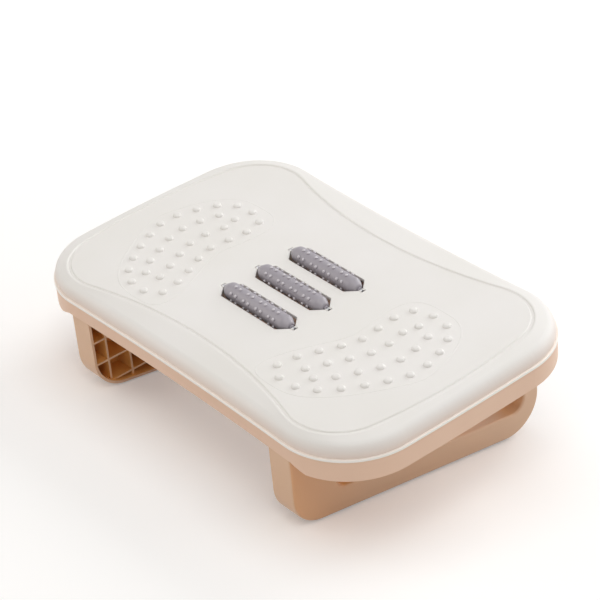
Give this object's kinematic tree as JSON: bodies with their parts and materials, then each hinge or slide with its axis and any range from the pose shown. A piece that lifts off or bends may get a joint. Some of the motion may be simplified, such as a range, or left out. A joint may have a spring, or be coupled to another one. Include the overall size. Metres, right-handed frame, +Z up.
{
  "type": "tilting footrest",
  "caption": "Under-desk footrest: a padded-edge cream platform with massage studs and ribbed rollers that tilts on two open side legs.",
  "frame": {"origin": "on the floor, under the middle of the whole object's box", "axes": "+X to the sitter's right along the platform, +Y away from the sitter towards the raised edge, +Z up"},
  "size_m": [0.45, 0.2998, 0.152],
  "materials": {
    "cover_plastic": "fine satin grain, cream",
    "tray_plastic": "satin tan",
    "leg_plastic": "satin tan brown",
    "inner_plastic": "moulded tan",
    "roller_plastic": "satin grey with a lilac tint",
    "bush_plastic": "natural nylon",
    "steel": "zinc plated",
    "tie_coating": "brown powder coat",
    "rubber": "soft dark rubber"
  },
  "bodies": {
    "base": {"left_leg": "leg_plastic", "right_leg": "leg_plastic", "pivot_shaft": "steel", "cross_tie": "tie_coating", "left_friction_washer": "bush_plastic", "right_friction_washer": "bush_plastic", "left_pivot_bolt": "steel", "right_pivot_bolt": "steel", "left_bolt_cover": "leg_plastic", "right_bolt_cover": "leg_plastic", "tie_screws": "steel", "left_front_foot": "rubber", "right_front_foot": "rubber", "left_rear_foot": "rubber", "right_rear_foot": "rubber", "front_stop_pads": "rubber", "back_stop_pads": "rubber"},
    "platform": {"deck_cover": "cover_plastic", "tray": "tray_plastic", "left_roller_cradle": "cover_plastic", "right_roller_cradle": "cover_plastic", "cover_screws": "steel", "cradle_screws": "steel", "clamp_screws": "steel", "left_pivot_cap": "inner_plastic", "right_pivot_cap": "inner_plastic", "left_pivot_bush": "bush_plastic", "right_pivot_bush": "bush_plastic", "front_roller_axle": "steel", "middle_roller_axle": "steel", "rear_roller_axle": "steel"},
    "front_roller": {"front_roller": "roller_plastic"},
    "middle_roller": {"middle_roller": "roller_plastic"},
    "rear_roller": {"rear_roller": "roller_plastic"}
  },
  "joints": [
    {"name": "platform_tilt", "type": "hinge", "parent": "base", "child": "platform", "pos_m": [0, -0.00371, 0.08179], "axis": [1, 0, 0], "range_deg": [-10, 0]},
    {"name": "front_roller_spin", "type": "hinge", "parent": "platform", "child": "front_roller", "pos_m": [0, -0.05449, 0.12157], "axis": [1, 0, 0], "continuous": true},
    {"name": "middle_roller_spin", "type": "hinge", "parent": "platform", "child": "middle_roller", "pos_m": [0, -0.01589, 0.12838], "axis": [1, 0, 0], "continuous": true},
    {"name": "rear_roller_spin", "type": "hinge", "parent": "platform", "child": "rear_roller", "pos_m": [0, 0.02271, 0.13519], "axis": [1, 0, 0], "continuous": true}
  ]
}
